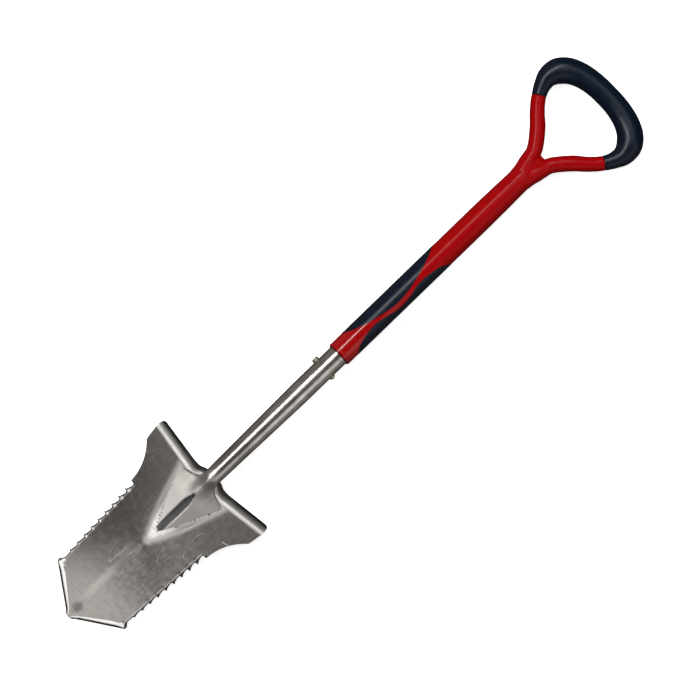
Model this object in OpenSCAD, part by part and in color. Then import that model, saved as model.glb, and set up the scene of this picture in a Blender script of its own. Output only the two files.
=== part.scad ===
// Detecting shovel: a stainless steel serrated blade on a tubular socket, with a plastic D handle.
// It lies face up on its turned-back treads and its grip. +Z is up, +Y runs from the tip to the
// grip, +X is the width. The origin is under the middle of its length and width, at floor level.
// All sizes are millimetres.

/* [Blade] */
// half of the width at the corners of the point
corner_half_w = 52.8; // [48:0.2:58]
// distance from the tip to the corners of the point
corner_y = 35; // [28:0.5:42]
// radius of the rounded tip
tip_r = 8; // [6:0.5:14]
// where the saw teeth end and the flare begins
saw_end = 152; // [149:1:153]
// half of the width across the shoulders
shoulder_half_w = 82.5; // [80:0.5:85]
// distance from the tip to the crease of the treads
crease_y = 203.8; // [202:0.2:206]
// how far a tread reaches back past its crease
tread_reach = 13.8; // [11:0.2:14.4]
// thickness of the pressed sheet
sheet_t = 2; // [1.6:0.1:2.5]
// height of the side edges above the middle
dish = 2; // [2:0.5:6]
// width of the ground bevel along the edges of the point
bevel_w = 3.6; // [2:0.2:4.5]

/* [Saw teeth] */
// teeth on each side, between the corner and the flare
tooth_count = 9; // [5:1:10]
// height of the smallest tooth, next to the corner
tooth_low = 1.9; // [1:0.1:3]
// height of the largest tooth, next to the flare
tooth_high = 4.3; // [3:0.1:5]

/* [Socket] */
// radius of the tube where it leaves the blade
neck_r = 9.95; // [9.5:0.05:10]
// radius of the tube where it enters the handle
tube_r = 12.4; // [12:0.05:12.4]
// wall thickness of the tube
tube_wall = 1.5; // [1.2:0.1:1.6]
// distance from the tip to the foot of the pressed socket
foot_y = 136; // [132:1:140]
// distance from the tip to the end of the ground weld
weld_y = 121; // [116:1:124]
// distance from the tip to the cross bolt
bolt_y = 390; // [385:1:395]

/* [Handle] */
// distance from the tip to the mouth of the handle
mouth_y = 411; // [408:0.5:414]
// radius of the handle's shaft
shaft_r = 14.9; // [14:0.05:15]
// overall length of the shovel
overall_l = 842; // [836:1:844]
// radius of the grip bar
bar_r = 13.3; // [12.8:0.1:14]
// thickness of the soft grip over its core
cover_t = 3; // [2:0.1:3.4]

/* [Hidden] */
$fn = 64;
rise = 2.6;
tip_z = 0.3;
socket_start = 220;
handle_in = 17;
fit_gap = 0.05;
inlay_t = 1.3;
core_r = tube_r - tube_wall - fit_gap;
neck_z = tip_z + sheet_t + socket_start * tan(rise) + neck_r + 0.3;
bar_y = overall_l - bar_r;
droop = atan((neck_z - bar_r) / (bar_y - socket_start));
axis_z = neck_z + socket_start * tan(droop);
tip_slope = atan(corner_y / corner_half_w);
first_tooth_y = corner_y + 16.8;
last_tooth_y = saw_end - 10.6;
tooth_pitch = (last_tooth_y - first_tooth_y) / (tooth_count - 1);

function clamp01(v) = min(1, max(0, v));
function smooth(a, b, v) = let (t = clamp01((v - a) / (b - a))) t * t * (3 - 2 * t);
function mix(a, b, t) = a + (b - a) * t;

// A closed solid through rings of points. Each ring goes once round, and all have equal counts.
module loft(rings) {
    n = len(rings[0]);
    last = (len(rings) - 1) * n;
    half = n / 2 - 1;
    sides = [
        for (k = [0 : len(rings) - 2], i = [0 : n - 1])
            let (a = k * n + i, b = k * n + (i + 1) % n)
                each [[a, b + n, b], [a, a + n, b + n]]
    ];
    caps = [
        for (i = [0 : half - 1])
            let (a = i, b = i + 1, c = n - 2 - i, d = n - 1 - i)
                each [[a, b, c], [a, c, d], [last + a, last + c, last + b], [last + a, last + d, last + c]]
    ];
    polyhedron(points = [for (r = rings) each r], faces = concat(sides, caps), convexity = 6);
}

// ---- Blade ----

// Half width of the straight back that the teeth are cut from.
function saw_root(y) = mix(49.2, 54.6, (y - 40) / (saw_end - 40));

// How much the sides are raised at this distance from the tip.
function dish_at(y) = dish * smooth(-20, 70, y) * (1 - 0.75 * smooth(120, crease_y, y));

// Height of the sheet's upper face.
function face_z(x, y) = tip_z + sheet_t + y * tan(rise) + dish_at(y) * pow(x / corner_half_w, 2);

// The treads slant towards the grip at their outer ends, and the last rows lean over with them.
lean_start = 193;
function slant(x) = max(0, abs(x) - 26) * tan(8.5);

// One row of the outline: distance from the tip, half width, half width inside the bevel.
function point_rows() = [
    for (a = [13 : 10 : 90 - tip_slope])
        let (w = tip_r * sin(a), y = tip_r * (1 - cos(a)))
            [y, w, max(w * 0.4, w - bevel_w / sin(tip_slope) * 0.6)],
    for (t = [0.3, 0.65, 1])
        let (y0 = tip_r * (1 - sin(tip_slope)), w0 = tip_r * cos(tip_slope))
            let (y = mix(y0, corner_y, t), w = mix(w0, corner_half_w, t))
                [y, w, w - bevel_w / sin(tip_slope) * 0.9 * (t < 1 ? 1 : 0.5)]
];

function corner_rows() = [
    [corner_y + 3.6, corner_half_w + 0.3, saw_root(40) - 1.6],
    [corner_y + 5.2, corner_half_w - 1.6, saw_root(40) - 1.4],
    [corner_y + 7.6, saw_root(43), saw_root(43) - 1.4]
];

// A tooth: a steep flank facing the tip and a long hollow flank behind it.
function tooth_rows(k) =
    let (y = first_tooth_y + k * tooth_pitch, h = mix(tooth_low, tooth_high, k / (tooth_count - 1)))
        [for (p = [[-1.1, 0], [-0.45, 0.3], [0, 1], [0.24 * tooth_pitch, 0.5],
                   [0.5 * tooth_pitch, 0.14], [0.72 * tooth_pitch, 0]])
            [y + p[0], saw_root(y + p[0]) + h * p[1], saw_root(y + p[0]) - 1.4]];

// The flare: a hollow arc from the saw's end to the shoulder.
function flare_rows() =
    let (r = 62, w0 = 59.4)
        [[saw_end, saw_root(saw_end), saw_root(saw_end) - 1.4],
         [saw_end + 0.6, w0 - 0.2, saw_root(saw_end) - 1],
         for (a = [4.5 : 6.75 : 45])
            [saw_end - 2 + r * sin(a), w0 + r * (1 - cos(a)), w0 + r * (1 - cos(a)) - 1.4],
         [lean_start + 2.5, shoulder_half_w - 2.3, shoulder_half_w - 3.8],
         [lean_start + 5.5, shoulder_half_w - 1, shoulder_half_w - 2.6],
         [lean_start + 9, shoulder_half_w - 0.2, shoulder_half_w - 1.8]];

// Across the blade: shares of the half width, closest together where the socket sits.
columns = [-1, -0.8, -0.6, -0.42, -0.3, -0.2, -0.1, 0, 0.1, 0.2, 0.3, 0.42, 0.6, 0.8, 1];

// A ring of the flat of the blade; edge is the thickness left at the ground edge.
function flat_ring(row, edge) =
    let (y = row[0], lean = smooth(lean_start, crease_y, y))
        let (top = [[-row[1], edge], for (f = columns) [f * row[2], sheet_t], [row[1], edge]])
            concat(
                [for (p = top) [p[0], y + lean * slant(p[0]), face_z(p[0], y) - sheet_t + p[1]]],
                [for (i = [len(top) - 1 : -1 : 0])
                    [top[i][0], y + lean * slant(top[i][0]), face_z(top[i][0], y) - sheet_t]]
            );

// The treads: behind the crease the sheet rises in a low bead, then turns down more and more
// steeply, and it keeps clear of the socket.
bend_end = 68;
bead_h = 0.8;

function tread_point(x, a, depth) =
    let (near = 1 - smooth(neck_r, neck_r + 9, abs(x)),
         reach = (tread_reach + 3 * near + 1.6 * (1 - abs(x) / shoulder_half_w)) / sin(bend_end) - depth,
         top_z = face_z(x, crease_y),
         drop = (top_z - depth - (sheet_t - depth) * cos(bend_end)) * (1 - 0.35 * near),
         fall = drop * pow((1 - cos(a)) / (1 - cos(bend_end)), 1.5),
         bead = bead_h * (1 - near) * (exp(-pow((a - 14) / 10, 2)) - exp(-pow(14 / 10, 2))))
        [x, crease_y + slant(x) + reach * sin(a), top_z - depth - fall + max(0, bead)];

function tread_ring(a) =
    let (w = shoulder_half_w + 0.4 - 8 * (1 - sqrt(1 - pow(clamp01((a - 32) / (bend_end - 32)), 2))) * 0.7)
        let (xs = [-w, for (f = columns) f * (w - 1.2), w])
            concat(
                [for (x = xs) tread_point(x, a, 0)],
                [for (i = [len(xs) - 1 : -1 : 0]) tread_point(xs[i], a, sheet_t)]
            );

module blade() {
    teeth = [for (k = [0 : tooth_count - 1]) each tooth_rows(k)];
    rows = concat(point_rows(), corner_rows(), teeth, flare_rows());
    color("silver")
        loft(concat(
            [for (r = rows) flat_ring(r, r[0] > saw_end + 1 ? sheet_t - 0.3 : 0.6)],
            [for (a = [0 : 8 : 32]) tread_ring(a)],
            [for (a = [40, 48, 55, 61, 65, bend_end]) tread_ring(a)]
        ));
}

// ---- Socket ----

// Everything on the shaft's own line: z runs from the tip to the grip, y points down.
module on_shaft() {
    translate([0, 0, axis_z])
        rotate([-90 - droop, 0, 0])
            children();
}

function shaft_z(y) = axis_z - y * tan(droop);

// Half width of the pressed foot: a V, then a hollow curve into the tube.
foot_top = 32.5;
foot_end = crease_y - 0.8;
function foot_w(y) =
    let (up = (y - foot_y) / (foot_end - foot_y), past = (y - foot_end) / (socket_start - foot_end))
        y < foot_end ? 1.5 + (foot_top - 1.5) * pow(up, 0.85)
                     : neck_r + (foot_top - neck_r) * pow(1 - clamp01(past), 3.2);

function foot_h(y) = 2 * neck_r * pow(clamp01((y - foot_y + 6) / (socket_start - foot_y + 6)), 1.35);

// The hollow pressed down the middle of the foot, pointed at both of its ends.
function groove(x, y) =
    let (half_w = 5.6 * smooth(foot_y + 2, foot_y + 18, y) * (1 - smooth(180, 199, y)))
        min(3.4, 0.75 * foot_h(y)) * (1 - smooth(half_w * 0.3, half_w + 0.5, abs(x)));

foot_sides = 32;

// Share of the foot's height at x: two flat flanks, and a round back that grows towards the tube.
function ridge(x, y, w) =
    let (crest = 5, back = 0.45 * smooth(176, 204, y),
         flank = (norm([x, crest]) - crest) / (norm([w, crest]) - crest))
        (1 - back) * (1 - flank) + back * exp(-pow(x / 7, 2));

// A ring of the foot: a ridge on the sheet that turns into the round tube.
function foot_ring(y) =
    let (w = foot_w(y), h = foot_h(y), b = smooth(foot_end - 1, 219, y))
        [for (i = [0 : foot_sides - 1])
            let (a = 180 - (i + 0.5) * 360 / foot_sides, x = w * cos(a) / cos(180 / foot_sides),
                 base = face_z(0, y) + fit_gap + (face_z(x, y) - face_z(0, y)) * (1 - b),
                 top = h * ridge(x, y, w) - groove(x, y) + 0.25,
                 r = neck_r + 0.12, round_z = shaft_z(y) + r * sin(a))
                [mix(x, r * cos(a), b), y, mix(base + (a > 0 ? max(0.2, top) : 0), round_z, b)]];

module socket() {
    lower_ys = [foot_y + 0.5, 141, 146, 151, 156, 161, 166, 173, 180, 187, 194, foot_end - 3];
    ys = concat(lower_ys, [for (d = [0, 1.2, 2.6, 4.6, 7.4, 10.6, 13.8]) foot_end + d], [socket_start + 1]);
    color("lightgray") {
        loft([for (y = ys) foot_ring(y)]);
        on_shaft()
            difference() {
                union() {
                    translate([0, 0, socket_start + 0.5])
                        cylinder(r1 = neck_r, r2 = tube_r, h = 350 - socket_start - 0.5);
                    translate([0, 0, 350])
                        cylinder(r = tube_r, h = mouth_y + handle_in - 350);
                }
                translate([0, 0, 240])
                    cylinder(r1 = neck_r - tube_wall, r2 = tube_r - tube_wall, h = 110);
                translate([0, 0, 350])
                    cylinder(r = tube_r - tube_wall, h = 200);
                cross_hole();
            }
    }
}

module cross_hole() {
    translate([0, 0, bolt_y])
        rotate([0, 90, 0])
            cylinder(r = 2.5, h = 60, center = true);
}

// Half width of the ground weld metal, a V a little wider and longer than the foot.
function weld_w(y) = 1.5 + 34 * pow((y - weld_y) / 86, 0.75);

// The ground weld metal that fills the corner between the foot and the sheet.
module weld() {
    ys = [weld_y, weld_y + 1.5, weld_y + 4, 128, 132, 136, for (y = [140 : 10 : 190]) y, 197, foot_end];
    inner_ys = [foot_y + 0.4, for (y = [140 : 10 : 190]) y, 197, foot_end + 0.4];
    color("gainsboro")
        difference() {
            loft([for (y = ys)
                let (w = weld_w(y), n = 8, xs = [for (i = [0 : n]) mix(-w, w, i / n)])
                    concat(
                        [for (i = [0 : n]) [xs[i], y, face_z(xs[i], y) + (i == 0 || i == n ? 0.1 : 0.6)]],
                        [for (i = [n : -1 : 0]) [xs[i], y, face_z(xs[i], y) + 0.02]]
                    )]);
            linear_extrude(height = 60)
                polygon(concat(
                    [for (y = inner_ys) [foot_w(y) - 0.8, y]],
                    [for (i = [len(inner_ys) - 1 : -1 : 0]) [0.8 - foot_w(inner_ys[i]), inner_ys[i]]]
                ));
        }
}

// ---- Inside the handle ----

core_start = 362;
core_end = 676;

module core_tube() {
    color("darkgray")
        on_shaft()
            difference() {
                translate([0, 0, core_start])
                    cylinder(r = core_r, h = core_end - core_start);
                translate([0, 0, core_start - 1])
                    cylinder(r = core_r - 1.6, h = core_end - core_start + 2);
                cross_hole();
            }
}

// Closes the core's upper end, so that the moulding stays out of it.
module core_plug() {
    color("dimgray")
        on_shaft() {
            translate([0, 0, core_end - 14])
                cylinder(r = core_r - 1.6 - fit_gap, h = 14.5);
            translate([0, 0, core_end])
                cylinder(r = core_r, h = 2.5);
        }
}

module cross_bolt() {
    color("goldenrod")
        on_shaft()
            translate([-tube_r - 3.8, 0, bolt_y])
                rotate([0, 90, 0]) {
                    cylinder(r = 2.4, h = 2 * tube_r + 4.2);
                    translate([0, 0, 2 * tube_r + 3.85])
                        intersection() {
                            cylinder(r = 3.6, h = 2.6);
                            translate([0, 0, -1.6])
                                sphere(r = 4.2);
                        }
                }
}

module bolt_nut() {
    color("darkkhaki")
        on_shaft()
            translate([-tube_r - 3.25, 0, bolt_y])
                rotate([0, 90, 0])
                    difference() {
                        cylinder(r = 4, h = 3.2, $fn = 6);
                        translate([0, 0, -1])
                            cylinder(r = 2.45, h = 6);
                    }
}

// ---- Handle ----

// Right half of the D: centre x, distance from the tip, radius. From inside the yoke to the bar.
d_path = [
    [7.6, 715, 6.8], [11.7, 726.3, 8.9], [17, 734.9, 9], [28.5, 748.6, 9], [39.3, 758.6, 8.6],
    [48.2, 768.4, 8.4], [54.3, 777.6, 8.7], [58.2, 786.4, 10], [60.2, 796.4, 12.5], [57.6, 807.6, 14.7],
    [49.8, 816.8, 14.8], [38, 823.2, 14.2], [25, 826.8, 13.7], [12.5, 828.4, 13.4], [0, bar_y, bar_r]
];
d_middle = len(d_path) - 1;
joint_at = 5.55;
ring_sides = 20;

function catmull(a, b, c, d, t) =
    0.5 * (2 * b + (c - a) * t + (2 * a - 5 * b + 4 * c - d) * t * t + (3 * b - a - 3 * c + d) * t * t * t);

// The path at any whole step: past the middle it's the mirror image, on the left side.
function d_at(i) =
    i < 0 ? d_path[0]
          : i <= d_middle ? d_path[i]
                          : let (p = d_path[max(0, 2 * d_middle - i)]) [-p[0], p[1], p[2]];
function d_point(s) =
    let (i = floor(s), t = s - i) catmull(d_at(i - 1), d_at(i), d_at(i + 1), d_at(i + 2), t);
function d_normal(s) =
    let (v = d_point(s + 0.02) - d_point(s - 0.02), l = norm([v[0], v[1]])) [v[1] / l, -v[0] / l];

// A ring round the path, in the shaft's frame (x, down, along).
function d_ring(s, less) =
    let (p = d_point(s), n = d_normal(s), r = p[2] - less)
        [for (i = [0 : ring_sides - 1])
            let (a = (i + 0.5) * 360 / ring_sides)
                [p[0] + n[0] * r * cos(a), r * sin(a), p[1] + n[1] * r * cos(a)]];

// Both arms of the D, with the thinner core of the grip bar between them.
module arms_and_core() {
    far = 2 * d_middle - joint_at;
    core = cover_t + fit_gap;
    loft(concat(
        [for (s = [0.02, 0.5, 1, 1.5, 2, 2.5, 3, 3.5, 4, 4.5, 5, joint_at]) d_ring(s, 0)],
        [for (s = [joint_at, for (i = [6 : 0.5 : 2 * d_middle - 6]) i, far]) d_ring(s, core)],
        [for (s = [far, for (i = [5 : -0.5 : 0.5]) 2 * d_middle - i, 2 * d_middle - 0.02]) d_ring(s, 0)]
    ));
}

// The shaft widens and flattens into the two arms.
module yoke() {
    loft([for (p = [[684, 12.9, 12.9], [690.5, 13.9, 13.9], [696, 14, 13.7], [703, 14.6, 13.4],
                    [708.5, 15.5, 12.9], [714, 17, 12.2], [719.5, 19, 11.3], [724, 20.6, 10.4],
                    [728.4, 19.4, 9.2]])
        [for (i = [0 : 31]) let (a = (i + 0.5) * 360 / 32) [p[1] * cos(a), p[2] * sin(a), p[0]]]]);
}

module handle_moulding() {
    color("firebrick")
        on_shaft()
            difference() {
                union() {
                    translate([0, 0, mouth_y])
                        cylinder(r1 = shaft_r - 1, r2 = shaft_r, h = 1);
                    translate([0, 0, mouth_y + 1])
                        cylinder(r = shaft_r, h = 636 - mouth_y - 1);
                    translate([0, 0, 636])
                        cylinder(r1 = shaft_r, r2 = 14, h = 54);
                    yoke();
                    arms_and_core();
                }
                translate([0, 0, mouth_y - 1])
                    cylinder(r = tube_r + 0.5, h = 5);
                translate([0, 0, mouth_y - 1])
                    cylinder(r = tube_r + fit_gap, h = handle_in + 1 + fit_gap);
                translate([0, 0, mouth_y - 1])
                    cylinder(r = core_r + fit_gap, h = core_end - mouth_y + 1 + 2.5 + fit_gap);
                inlay_space(left_edge, -1, 0);
                inlay_space(right_edge, 1, 0);
            }
}

// Edges of the two inlays on the front of the shaft: x, distance from the tip.
left_edge = [[-14.6, 430], [-8, 443], [-2, 461], [1.6, 477], [4.1, 494], [3.6, 509], [0.9, 525],
             [-3.4, 541], [-8.4, 556], [-14.6, 571]];
right_edge = [[14.6, 428.4], [9.6, 434], [5.2, 448.5], [3.9, 464], [6.6, 480], [9.7, 495], [8.6, 512],
              [5.3, 528], [5.6, 544], [9, 561], [14.6, 571.5]];

function edge_points(e) = [
    for (i = [0 : len(e) - 2], t = [0 : 0.25 : 0.75])
        catmull(e[max(0, i - 1)], e[i], e[i + 1], e[min(len(e) - 1, i + 2)], t),
    e[len(e) - 1]
];

// A flush patch let into the shaft's surface, the same at the front and the back.
module inlay_space(edge, side, less) {
    intersection() {
        translate([0, 0, mouth_y])
            difference() {
                cylinder(r = shaft_r + (less > 0 ? 0 : 1), h = 200);
                translate([0, 0, -1])
                    cylinder(r = shaft_r - inlay_t + less, h = 202);
            }
        rotate([90, 0, 0])
            linear_extrude(height = 40, center = true)
                polygon(concat(
                    [[side * 20, edge[0][1]]],
                    [for (p = edge_points(edge)) [p[0] + side * less, p[1]]],
                    [[side * 20, edge[len(edge) - 1][1]]]
                ));
    }
}

module shaft_inlay_left() {
    color("midnightblue")
        on_shaft()
            inlay_space(left_edge, -1, fit_gap);
}

module shaft_inlay_right() {
    color("midnightblue")
        on_shaft()
            inlay_space(right_edge, 1, fit_gap);
}

// The soft grip: a sleeve moulded over the bar and round both of its corners.
module grip_cover() {
    stations = [joint_at, for (s = [6 : 0.5 : 2 * d_middle - 6]) s, 2 * d_middle - joint_at];
    n = ring_sides;
    m = len(stations);
    outer = [for (s = stations) d_ring(s, 0)];
    inner = [for (s = stations) d_ring(s, cover_t)];
    walls = [
        for (k = [0 : m - 2], i = [0 : n - 1])
            let (a = k * n + i, b = k * n + (i + 1) % n, o = m * n)
                each [[a, b + n, b], [a, a + n, b + n],
                      [o + a, o + b, o + b + n], [o + a, o + b + n, o + a + n]]
    ];
    ends = [
        for (i = [0 : n - 1])
            let (a = i, b = (i + 1) % n, o = m * n, e = (m - 1) * n)
                each [[a, b, o + b], [a, o + b, o + a],
                      [e + a, e + o + b, e + b], [e + a, e + o + a, e + o + b]]
    ];
    color("darkslategray")
        on_shaft()
            polyhedron(
                points = [for (r = concat(outer, inner)) each r],
                faces = concat(walls, ends),
                convexity = 6
            );
}

// ---- Assembly ----

translate([0, -overall_l / 2, 0]) {
    blade();
    socket();
    weld();
    core_tube();
    core_plug();
    cross_bolt();
    bolt_nut();
    handle_moulding();
    grip_cover();
    shaft_inlay_left();
    shaft_inlay_right();
}
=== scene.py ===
# %% [markdown]
# # A detecting shovel
# A detecting shovel is a short digging tool: a pressed stainless blade with saw teeth down its
# sides, a tapered steel tube as its socket, and a plastic handle that ends in a D. The packed
# CAD model is loaded first, because every piece made here has to lie where that model has it.

import math

import bpy
from mathutils import Matrix, Vector


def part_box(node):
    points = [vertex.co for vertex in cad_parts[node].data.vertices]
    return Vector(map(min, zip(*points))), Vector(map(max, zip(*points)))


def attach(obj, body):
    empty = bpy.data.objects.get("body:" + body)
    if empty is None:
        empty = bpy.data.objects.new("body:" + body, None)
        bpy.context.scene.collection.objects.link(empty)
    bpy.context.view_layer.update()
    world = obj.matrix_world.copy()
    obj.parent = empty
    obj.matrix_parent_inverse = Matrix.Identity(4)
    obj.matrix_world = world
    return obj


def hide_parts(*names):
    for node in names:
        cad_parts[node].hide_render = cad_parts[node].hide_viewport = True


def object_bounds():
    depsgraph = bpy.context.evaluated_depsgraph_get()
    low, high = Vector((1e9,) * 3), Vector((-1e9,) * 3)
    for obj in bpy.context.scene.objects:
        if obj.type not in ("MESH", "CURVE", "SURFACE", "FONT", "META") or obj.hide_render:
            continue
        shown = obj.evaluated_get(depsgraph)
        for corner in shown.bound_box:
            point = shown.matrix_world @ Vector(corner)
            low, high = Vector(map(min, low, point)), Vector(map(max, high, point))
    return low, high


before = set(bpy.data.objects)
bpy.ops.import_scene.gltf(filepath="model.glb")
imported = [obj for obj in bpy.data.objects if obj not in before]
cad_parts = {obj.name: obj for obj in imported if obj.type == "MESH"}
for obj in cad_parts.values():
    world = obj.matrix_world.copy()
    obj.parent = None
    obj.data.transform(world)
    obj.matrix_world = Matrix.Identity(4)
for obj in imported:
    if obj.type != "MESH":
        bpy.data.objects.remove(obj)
cad_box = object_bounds()
MM = 0.001
print("CAD model, mm:", [round((b - a) / MM, 1) for a, b in zip(*cad_box)])

# %% [markdown]
# ## Where the shaft runs
# The shovel lies face up on its treads and its grip, so the shaft slopes down a little towards
# the grip. The core tube is a plain cylinder on the shaft's line, and its box gives that slope.
# Pieces of the shaft are modelled level, with Y along the shaft, and are then laid on that line.

# %% Find the shaft's line
TIP_Y = cad_box[0][1]
core_low, core_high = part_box("core_tube")
core_r = (core_high[0] - core_low[0]) / 2
line_start = Vector((0, core_low[1], core_high[2] - core_r))
line_end = Vector((0, core_high[1], core_low[2] + core_r))
droop = math.atan2(line_start.z - line_end.z, line_end.y - line_start.y)
axis_z = line_start.z + (line_start.y - TIP_Y) * math.tan(droop)
on_shaft = Matrix.Translation((0, TIP_Y, axis_z)) @ Matrix.Rotation(-droop, 4, "X")
print("the shaft slopes down", round(math.degrees(droop), 2), "degrees")
print("its line is", round(axis_z / MM, 1), "mm high at the tip")


def shaft_z(y):
    """Height of the shaft's line in mm, at y mm from the tip."""
    return axis_z / MM - y * math.tan(droop)


# %% [markdown]
# ## Helpers for modelling
# An operator works on whatever is selected, so each piece starts with nothing selected. A
# finished piece has its place in its mesh, rides on the object's one body, and stands for the
# CAD node of the same metal or plastic.

# %% Selecting, finishing and smoothing
def deselect_all():
    """Leaves nothing selected, in object mode."""
    if bpy.context.object and bpy.context.object.mode == "EDIT":
        bpy.ops.object.mode_set(mode="OBJECT")
    bpy.ops.object.select_all(action="DESELECT")


def only(piece):
    """Selects one piece and nothing else."""
    deselect_all()
    piece.select_set(True)
    bpy.context.view_layer.objects.active = piece


def tidy_mesh(piece, gap=0.02):
    """Merges doubled points, closes open ends and turns the faces outwards."""
    only(piece)
    bpy.ops.object.mode_set(mode="EDIT")
    bpy.ops.mesh.select_all(action="SELECT")
    bpy.ops.mesh.remove_doubles(threshold=gap * MM)
    bpy.ops.mesh.fill_holes(sides=0)
    bpy.ops.mesh.normals_make_consistent(inside=False)
    bpy.ops.object.mode_set(mode="OBJECT")


def apply_modifier(piece, kind, **settings):
    """Adds a modifier with its settings, and makes its result the mesh."""
    only(piece)
    modifier = piece.modifiers.new(kind.title(), kind)
    for name, value in settings.items():
        setattr(modifier, name, value)
    bpy.ops.object.modifier_apply(modifier=modifier.name)


def lay_on_shaft(piece):
    """Puts a piece modelled level on the shaft's own line, with its place in its mesh."""
    only(piece)
    piece.matrix_world = on_shaft @ piece.matrix_world
    bpy.ops.object.transform_apply(location=True, rotation=True, scale=True)


def finish_piece(piece, name, nodes, angle=30):
    """Names and smooths a piece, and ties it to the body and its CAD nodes."""
    piece.name = name
    only(piece)
    bpy.ops.object.shade_smooth_by_angle(angle=math.radians(angle))
    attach(piece, "root")
    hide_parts(*nodes)
    print(name, "has", len(piece.data.polygons), "faces")
    return piece


def clamp01(value):
    """The value, held between 0 and 1."""
    return min(1.0, max(0.0, value))


def smooth(start, end, value):
    """0 before start, 1 after end, and an S curve between."""
    t = clamp01((value - start) / (end - start))
    return t * t * (3 - 2 * t)


def mix(a, b, t):
    """a where t is 0, b where t is 1, and in proportion between."""
    return a + (b - a) * t


# %% [markdown]
# ## The blade's shape
# The blade starts as flat sheet cut to its outline, and a press then dishes it and rolls back
# its treads. The outline is written down one row at a time, from the tip to the treads, with a
# second line inside the edge where the grinding ends. The rows crowd together at each tooth, so
# that the saw is sharp while the rest of the sheet stays light.

# %% Outline of the blank, in millimetres from the tip
# Each W is half a width, from the middle line.
SHEET_T = 2.0
TIP_R = 8.0
CORNER_W, CORNER_Y = 52.8, 35.0  # where the point meets the sides
SAW_END = 152.0
SHOULDER_W = 82.5
LEAN_START = 193.0  # from here the rows lean into the slant of the treads
CREASE_Y = 203.8  # where the treads turn back
TREAD_REACH = 13.8
BEND_END = math.radians(68)
BEVEL = 3.6
EDGE_BAND = 1.4  # width of the ground band along the saw
tip_slope = math.atan2(CORNER_Y, CORNER_W)


def saw_root(y):
    """Half the width at the foot of the teeth, which widens towards the shoulders."""
    return mix(49.2, 54.6, (y - 40) / (SAW_END - 40))


def point_rows():
    """A rounded tip and two straight ground edges, as (y, half width, half width of the face)."""
    rows = []
    angle = math.radians(13)
    while angle < math.pi / 2 - tip_slope:
        width = TIP_R * math.sin(angle)
        rows.append((TIP_R * (1 - math.cos(angle)), width, max(width * 0.4, width - BEVEL)))
        angle += math.radians(10)
    start_y, start_w = TIP_R * (1 - math.sin(tip_slope)), TIP_R * math.cos(tip_slope)
    for step in range(1, 8):
        t = step / 7
        width = mix(start_w, CORNER_W, t)
        grind = BEVEL / math.sin(tip_slope) * (0.9 if t < 1 else 0.5)
        rows.append((mix(start_y, CORNER_Y, t), width, width - min(grind, width * 0.5)))
    return rows


# %% Saw teeth and shoulders
TEETH = 9
TOOTH_LOW, TOOTH_HIGH = 1.9, 4.3
FIRST_TOOTH, LAST_TOOTH = CORNER_Y + 16.8, SAW_END - 10.6
TOOTH_PITCH = (LAST_TOOTH - FIRST_TOOTH) / (TEETH - 1)
FLARE_R, FLARE_W = 62.0, 59.4
# A tooth is steep towards the tip and hollow behind: distance from its point, share of its height.
tooth_front = [(-1.1, 0), (-0.45, 0.3), (0, 1)]
tooth_back = [(0.12, 0.72), (0.24, 0.48), (0.38, 0.28), (0.54, 0.12), (0.72, 0)]
tooth_profile = tooth_front + [(pitches * TOOTH_PITCH, share) for pitches, share in tooth_back]


def tooth_rows(index):
    """The rows of one tooth. The teeth grow towards the shoulders."""
    tip = FIRST_TOOTH + index * TOOTH_PITCH
    height = mix(TOOTH_LOW, TOOTH_HIGH, index / (TEETH - 1))
    rows = []
    for dy, share in tooth_profile:
        root = saw_root(tip + dy)
        rows.append((tip + dy, root + height * share, root - EDGE_BAND))
    return rows


def flare_rows():
    """The saw ends in a step, and the sides then flare out to the shoulders on a round curve."""
    root = saw_root(SAW_END)
    rows = [(SAW_END, root, root - EDGE_BAND), (SAW_END + 0.6, FLARE_W - 0.2, FLARE_W - 3)]
    for step in range(13):
        angle = math.radians(4.5 + 3.375 * step)
        width = FLARE_W + FLARE_R * (1 - math.cos(angle))
        rows.append((SAW_END - 2 + FLARE_R * math.sin(angle), width, width - EDGE_BAND))
    for above, inside, band in ((2.5, 2.3, 1.5), (5.5, 1.0, 1.6), (9.0, 0.2, 1.6)):
        rows.append((LEAN_START + above, SHOULDER_W - inside, SHOULDER_W - inside - band))
    return rows


corner_rows = [(CORNER_Y + 3.6, CORNER_W + 0.3, saw_root(40) - 1.6),
               (CORNER_Y + 5.2, CORNER_W - 1.6, saw_root(40) - EDGE_BAND),
               (CORNER_Y + 7.6, saw_root(43), saw_root(43) - EDGE_BAND)]
flat_rows = point_rows() + corner_rows
for index in range(TEETH):
    flat_rows += tooth_rows(index)
flat_rows += flare_rows()
bend_degrees = [0, 1.2, 2.5, 4, 6, 8, 11, 14, 18, 22, 26, 30, 35, 40, 46, 52, 57, 61, 65, 68]
bend_angles = [math.radians(degrees) for degrees in bend_degrees]
print(len(flat_rows), "rows in the flat of the blade and", len(bend_angles), "round the treads")

# %% [markdown]
# ### What the press does to each point
# The blade rises a little from its tip to the treads, its sides are dished up, and the treads
# roll back and down. The crease of a tread slants forward from the neck out to the shoulder, and
# a soft bead runs along its top, where a boot bears.

# %% Heights left by the press
RISE = math.tan(math.radians(2.6))
TIP_Z = 0.3
DISH = 2.0  # height of the sides over the middle
NECK_R = 9.95  # radius of the tube where it passes between the treads
BEAD = 0.8


def face_z(x, y):
    """Height of the blade's upper face in mm."""
    dish = DISH * smooth(-20, 70, y) * (1 - 0.75 * smooth(120, CREASE_Y, y))
    return TIP_Z + SHEET_T + y * RISE + dish * (x / CORNER_W) ** 2


def slant(x):
    """How far the tread's crease has slanted forward at x."""
    return max(0.0, abs(x) - 26) * math.tan(math.radians(8.5))


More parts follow.
